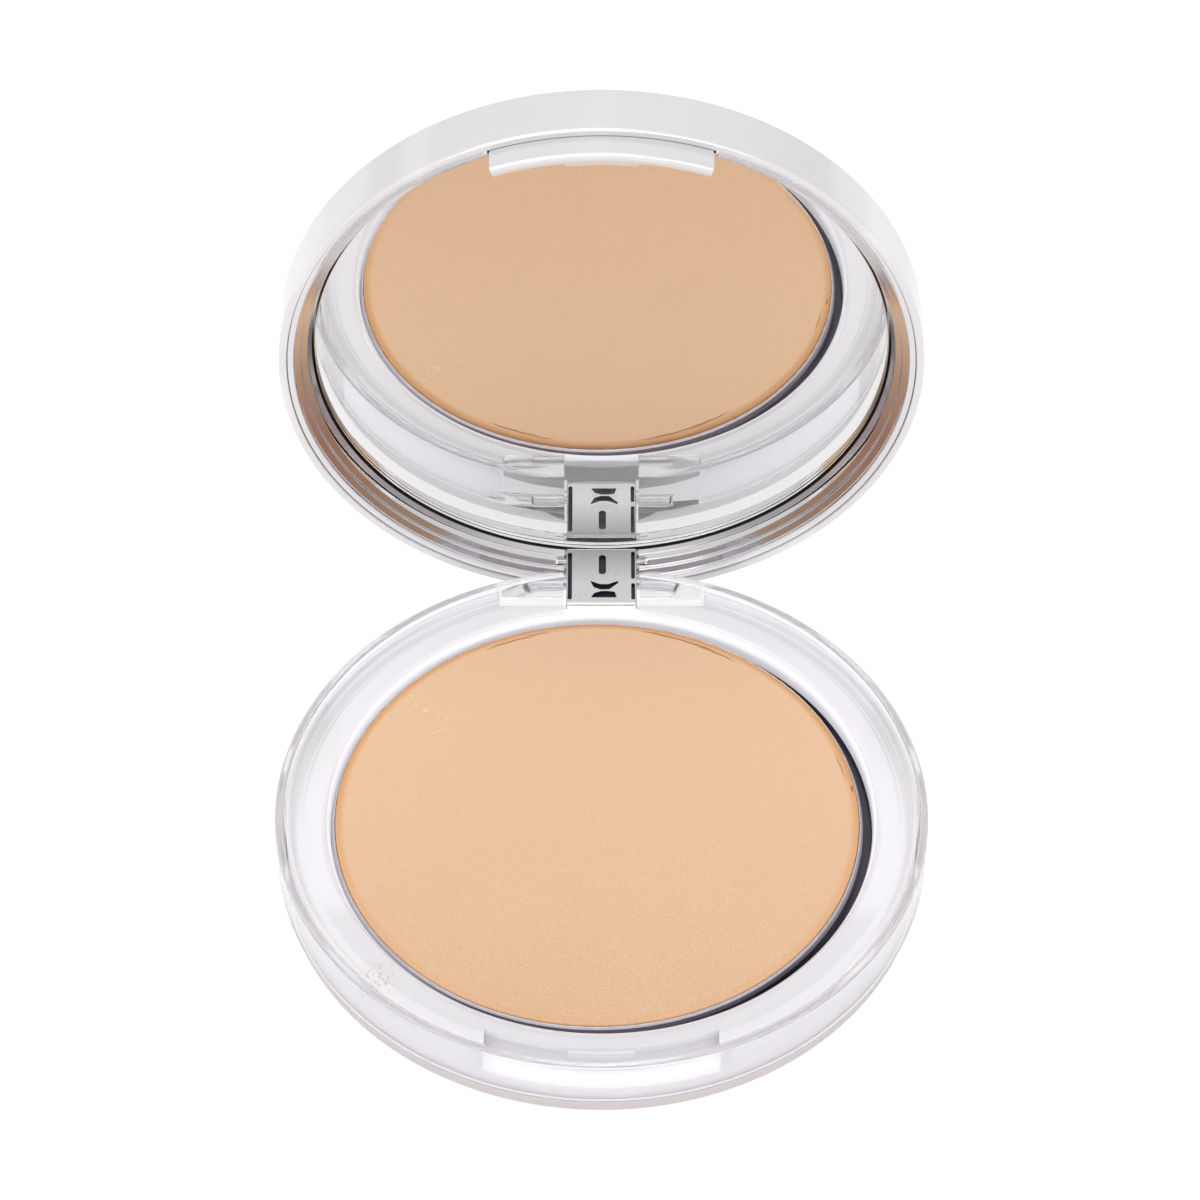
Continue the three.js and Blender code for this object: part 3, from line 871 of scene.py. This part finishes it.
def make_link():
    steps = 56
    sweep = 1.5 * math.pi + math.asin(-LINK_BACK / BARREL_R)
    turns = [math.pi + sweep * step / steps for step in range(steps + 1)]
    barrel = [(BARREL_R * math.cos(turn), BARREL_R * math.sin(turn), 0) for turn in turns]
    outline = filleted([(LINK_BACK, LINK_LENGTH, 0.2), (-BARREL_R, LINK_LENGTH, 0.35), *barrel])
    sections = [
        [(x, HINGE_Y + y, HINGE_Z + z) for y, z in outline] for x in (-LINK_HALF, LINK_HALF)
    ]
    link = swept("link", sections, LINK)
    round_off = link.modifiers.new("round", "BEVEL")
    round_off.width = 0.16 * MM
    round_off.segments = 3
    round_off.limit_method = "ANGLE"
    round_off.angle_limit = math.radians(50)
    round_off.use_clamp_overlap = False
    apply_modifiers(link)
    outlines = [
        slot_outline(0.12, 4.7, 8.1, 0.47),
        slot_outline(-4.1, 0.25, 8.5, 0.28),
        slot_outline(4.1, 0.25, 3.1, 0.25),
        slot_outline(4.1, 3.9, 8.7, 0.25),
        filleted([(-1.4, 0.6, 0.1), (2.0, 0.6, 0.1), (1.7, 1.6, 0.1), (0.8, 1.75, 0.2),
                  (0.0, 1.75, 0.2), (-0.9, 1.4, 0.1)]),
        filleted([(-1.5, 3.55, 0.08), (-1.0, 2.4, 0.25), (-0.1, 1.98, 0.2), (1.0, 2.02, 0.2),
                  (2.2, 3.2, 0.08), (2.1, 3.5, 0.08), (0.9, 2.95, 0.3), (-0.2, 2.95, 0.3)]),
    ]
    # Painted shade: the recesses take the dark colour of their cutters, as in open slots.
    for shape in outlines:
        combine(link, recess(shape), "DIFFERENCE")
    bore = bar([(-LINK_HALF - 1, BORE_R), (LINK_HALF + 1, BORE_R)], HINGE_Y, HINGE_Z, LINK)
    combine(link, bore, "DIFFERENCE")
    root = LINK_HALF - 0.3
    for low, high in ((-PEG_HALF, -root), (root, PEG_HALF)):
        combine(link, bar([(low, PEG_R), (high, PEG_R)], PEG_Y, PEG_Z, LINK), "UNION")
    smooth(link)
    return place(link, "hinge_link_plated", "lid", "plated_link", "hinge_link")


# ---- lid ----


def make_lid_shell():
    crown = []
    steps = 14
    for step in range(1, steps + 1):
        share = 1 - step / steps
        crown.append((CASE_R * share, LID_TOP_Z + LID_CROWN * (1 - share * share), 0))
    shell = lathe("lid", filleted([
        (0, LID_INSIDE_Z, 0), (INNER_R, LID_INSIDE_Z, 0.4), (INNER_R, LID_RIM_Z, 0.1),
        (CASE_R, LID_RIM_Z, RIM_ROUND), (CASE_R, LID_TOP_Z, 0.5), *crown,
    ]), LACQUERED)
    paint(shell, LID_TOP, lambda middle, normal: normal.z > 0.5 and middle.z > LID_TOP_Z - 1)
    smooth(shell)
    return place(shell, "lid_shell_silvered", "lid", "silvered_shell", "lid_shell")


def make_bezel():
    outer = INNER_R - 0.03
    high = LID_INSIDE_Z - GAP
    bezel = lathe("bezel", filleted([
        (outer, BEZEL_RIM_Z, 0.12), (outer, high, 0.4), (BEZEL_BORE_R, high, 0),
        (BEZEL_BORE_R, MIRROR_Z - 0.2, 0.08), *((r, z, STEP_ROUND) for r, z in BEZEL_STEPS),
        (BEZEL_RIM_R, BEZEL_RIM_Z, 0.12),
    ]), SILVERED, closed=True)
    seat_r = TAB_R - 0.35
    seat_z = TAB_ROOT_Z + GAP
    seat = lathe("seat", [(seat_r, 0), (FAR, 0), (FAR, seat_z), (seat_r, seat_z)], SILVERED, closed=True)
    half = TAB_HALF + GAP
    combine(seat, block((-half, half), (-FAR, 0), (-FAR, FAR), SILVERED), "INTERSECT")
    combine(bezel, seat, "DIFFERENCE")
    half = LINK_HALF + GAP
    link_room = block((-half, half), (HINGE_Y - BARREL_R - GAP, HINGE_Y + LINK_BACK + GAP),
                      (0, HINGE_Z + LINK_LENGTH + GAP), SILVERED)
    combine(bezel, link_room, "DIFFERENCE")
    peg_bore = [(-PEG_BORE_HALF, PEG_BORE_R), (PEG_BORE_HALF, PEG_BORE_R)]
    combine(bezel, bar(peg_bore, PEG_Y, PEG_Z, SILVERED), "DIFFERENCE")
    # Painted reflections on the flats of the steps.
    paint(bezel, BEZEL_REFLECTIONS, lambda middle, normal: middle.xy.length < BEZEL_RIM_R - 0.05
          and abs(normal.z) > 0.5)
    paint(bezel, GAP_SHADE, lambda middle, _: middle.xy.length < BEZEL_BORE_R + 0.04)
    smooth(bezel)
    return place(bezel, "lid_bezel_silvered", "lid", "silvered_frame", "lid_bezel")


def tab_section(turn, lip, inset):
    """The latch tongue's section at an angle from its middle; lip is 1 where the snap lip stands."""
    reach = TAB_R - (TAB_R - SNAP_R) * lip
    outer = TAB_OUTER_R - inset
    outline = filleted([
        (TAB_R + inset, TAB_ROOT_Z - inset, 0.1), (TAB_R + inset, SNAP_Z + SNAP_T, 0.03),
        (reach + inset, SNAP_Z + SNAP_T - 0.06, 0.03), (reach + inset, SNAP_Z + 0.06, 0.03),
        (TAB_R + inset, SNAP_Z, 0.03), (TAB_R + inset, TAB_TIP_Z + inset, 0.08),
        (outer, TAB_TIP_Z + inset, 0.3), (outer, TAB_ROOT_Z - inset, 0.1),
    ])
    return [(-r * math.sin(turn), -r * math.cos(turn), z) for r, z in outline]


def make_tab():
    end = math.asin(TAB_HALF / TRAY_R)
    lip_end = math.asin(SNAP_HALF / TRAY_R)
    lip_blend = math.radians(0.35)
    bevel = 0.12
    full_end = end - bevel / TRAY_R
    steps = 96
    sections = [tab_section(-end, 0, bevel)]
    for step in range(steps + 1):
        turn = -full_end + 2 * full_end * step / steps
        lip = min(max((lip_end - abs(turn)) / lip_blend, 0), 1)
        sections.append(tab_section(turn, lip, 0))
    sections.append(tab_section(end, 0, bevel))
    tab = smooth(swept("tab", sections, LACQUERED))
    return place(tab, "latch_tab_silvered", "lid", "silvered_frame", "latch_tab")


def make_mirror():
    """Float glass with rounded edges; its back face and its edges are silvered."""
    top = MIRROR_Z + MIRROR_T
    mirror = lathe("mirror", filleted([
        (0, MIRROR_Z, 0), (MIRROR_R, MIRROR_Z, 0.12), (MIRROR_R, top, 0.12), (0, top, 0),
    ]), GLASS)
    paint(mirror, SILVER, lambda _, normal: normal.z > -0.3)
    smooth(mirror)
    return place(mirror, "mirror_silvered", "lid", "mirror", "mirror_glass")


make_base_shell()
make_base_tray()
make_pan()
make_powder()
make_pin()
make_link()
make_lid_shell()
make_bezel()
make_tab()
make_mirror()

CAD_LOOKS = {
    "bottom_label": PAPER,
    "pan_adhesive": GLUE,
    "mirror_adhesive": GLUE,
    "lid_disc": DISC,
}
for node, material in CAD_LOOKS.items():
    piece = frame["nodes"][node]
    piece.data.materials.clear()
    piece.data.materials.append(material)


# ---- stage ----

FLOOR_HALF = 3000
FLOOR_DROP = 0.02
CAMERA_AT = (-0.00019, -0.3415, 0.4113)
CAMERA_PITCH = 46.92
CAMERA_LENS = 129.0


def make_floor():
    """A pale floor that glows evenly besides being lit."""
    look = Look("floor_paper", Roughness=0.9, Specular_IOR_Level=0.1,
                Emission_Color=(1.0, 1.0, 1.0, 1.0), Emission_Strength=0.87)
    tone = look.spread(look.noise(14, detail=3))
    look.drive("Base Color", look.mix(tone, (0.175, 0.17, 0.18), (0.185, 0.18, 0.19)))
    corners = [(-1, -1), (1, -1), (1, 1), (-1, 1)]
    points = [(x * FLOOR_HALF, y * FLOOR_HALF, 0) for x, y in corners]
    floor = new_object("floor", points, [(0, 1, 2, 3)], look.material)
    floor.location.z = -FLOOR_DROP * MM


def make_world():
    """A light tent: bright overhead, a little greyer towards the horizon."""
    world = bpy.data.worlds.new("tent")
    world.use_nodes = True
    bpy.context.scene.world = world
    nodes, links = world.node_tree.nodes, world.node_tree.links
    direction = nodes.new("ShaderNodeTexCoord").outputs["Generated"]
    split = nodes.new("ShaderNodeSeparateXYZ")
    links.new(direction, split.inputs[0])
    ramp = nodes.new("ShaderNodeValToRGB")
    ramp.color_ramp.elements[0].position = 0.0
    ramp.color_ramp.elements[0].color = (0.88, 0.87, 0.89, 1)
    ramp.color_ramp.elements[1].position = 0.7
    ramp.color_ramp.elements[1].color = (1, 1, 1, 1)
    links.new(split.outputs["Z"], ramp.inputs["Fac"])
    background = nodes["Background"]
    links.new(ramp.outputs["Color"], background.inputs["Color"])
    background.inputs["Strength"].default_value = 1.0


def softbox(name, place_mm, aim_mm, size_mm, watts):
    light = bpy.data.lights.new(name, "AREA")
    light.shape = "RECTANGLE"
    light.size, light.size_y = (part * MM for part in size_mm)
    light.energy = watts
    lamp = bpy.data.objects.new(name, light)
    lamp.location = Vector(place_mm) * MM
    lamp.rotation_euler = (Vector(aim_mm) - Vector(place_mm)).to_track_quat("-Z", "Y").to_euler()
    bpy.context.scene.collection.objects.link(lamp)


def make_camera():
    camera = bpy.data.cameras.new("camera")
    camera.lens = CAMERA_LENS
    camera.sensor_width = 36.0
    camera.clip_start = 0.01
    eye = bpy.data.objects.new("camera", camera)
    eye.location = CAMERA_AT
    eye.rotation_euler = (math.radians(90 - CAMERA_PITCH), 0, 0)
    bpy.context.scene.collection.objects.link(eye)
    bpy.context.scene.camera = eye


make_floor()
make_world()
softbox("key_overhead", (-150, -50, 700), (0, 0, 0), (600, 600), 1.1)
softbox("fill_front", (0, -900, 250), (0, 0, 10), (900, 400), 3.0)
make_camera()
scene = bpy.context.scene
scene.view_settings.view_transform = "Standard"
scene.cycles.max_bounces = 24
scene.cycles.transmission_bounces = 24
scene.cycles.glossy_bounces = 12
